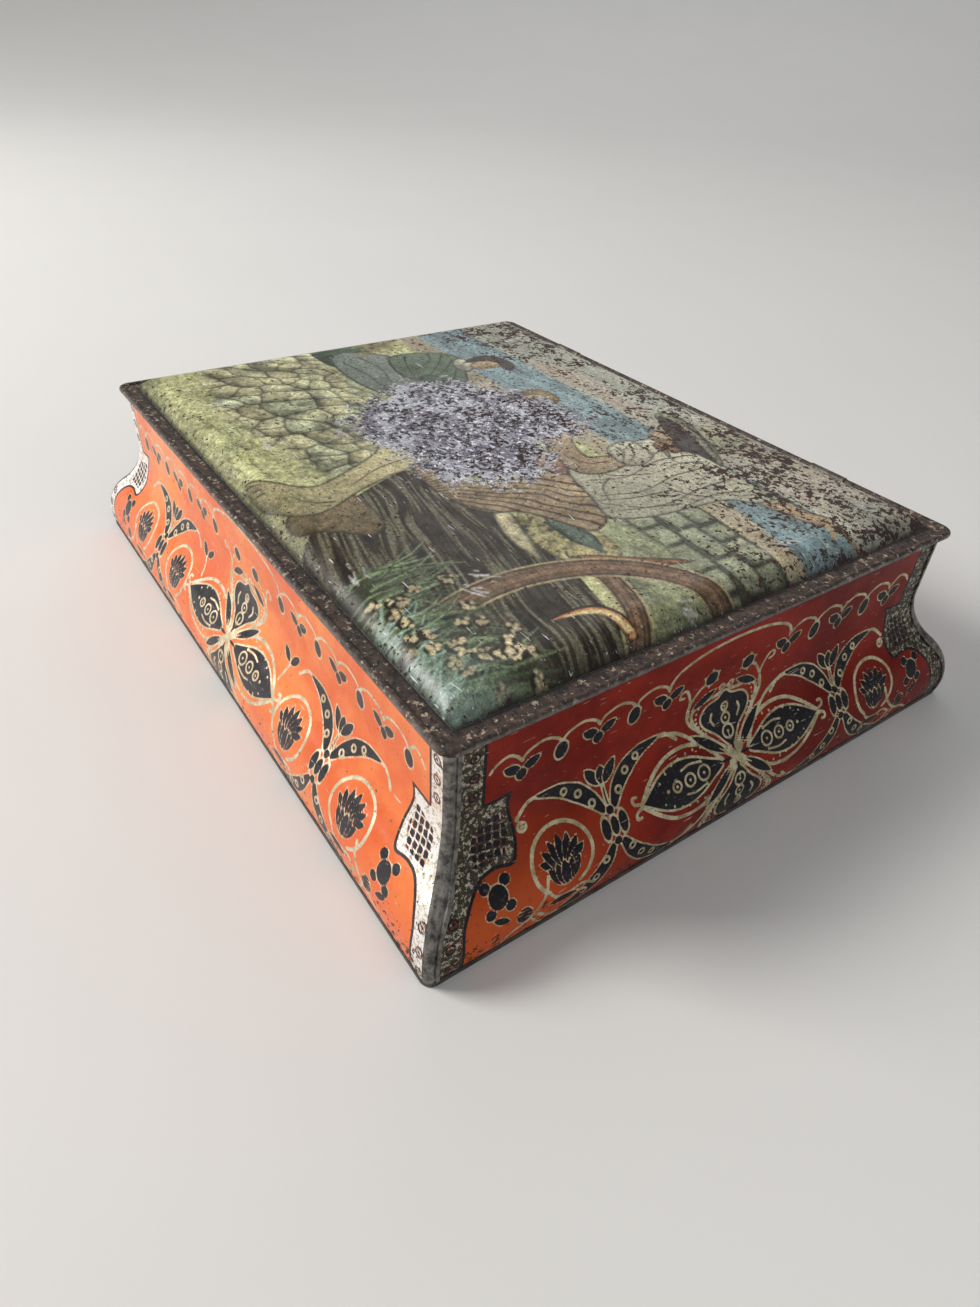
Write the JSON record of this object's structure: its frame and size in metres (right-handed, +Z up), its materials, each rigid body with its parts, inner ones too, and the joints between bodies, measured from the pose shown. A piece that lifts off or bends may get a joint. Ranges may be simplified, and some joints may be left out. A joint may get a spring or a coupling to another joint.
{
  "type": "hinged biscuit tin",
  "caption": "Rectangular pressed-tin biscuit box with flared ogee walls, patterned sides and a wire-hinged lid with a raised picture panel.",
  "frame": {"origin": "middle of the underside of the base rim, on the plane the tin stands on", "axes": "+X along the long front, to the right as seen from the front; -Y out of the front wall and +Y towards the hinge; +Z up"},
  "size_m": [0.2638, 0.2108, 0.0672],
  "materials": {
    "printed_side": "worn lithographed enamel, orange-red with slate-black and gold ornament",
    "printed_end": "worn lithographed enamel, deep red with slate-black and gold ornament",
    "seam_tin": "worn grey-gold enamel over folded tin",
    "dark_rim": "oxidised dark tin",
    "bare_tin": "dull aged tinplate with rust spots",
    "hinge_tin": "dull aged tinplate",
    "lid_edge": "rust-brown enamel worn to bright tin on the rolled edge",
    "printed_lid": "worn lithographed picture with rust specks",
    "steel_wire": "dull iron wire"
  },
  "bodies": {
    "box": {"front_wall": "printed_side", "back_wall": "printed_side", "left_wall": "printed_end", "right_wall": "printed_end", "corner_seam_front_left": "seam_tin", "corner_seam_front_right": "seam_tin", "corner_seam_back_left": "seam_tin", "corner_seam_back_right": "seam_tin", "base_rim": "dark_rim", "base_plate": "bare_tin", "neck_front": "bare_tin", "neck_back": "bare_tin", "neck_left": "bare_tin", "neck_right": "bare_tin", "hinge_strap_left": "hinge_tin", "hinge_strap_right": "hinge_tin"},
    "lid": {"lid_frame": "lid_edge", "lid_panel": "printed_lid", "lid_wire": "steel_wire"}
  },
  "joints": [
    {"name": "lid_hinge", "type": "hinge", "parent": "box", "child": "lid", "pos_m": [0, 0.09285, 0.0614], "axis": [-1, 0, 0], "range_deg": [0, 110]}
  ]
}
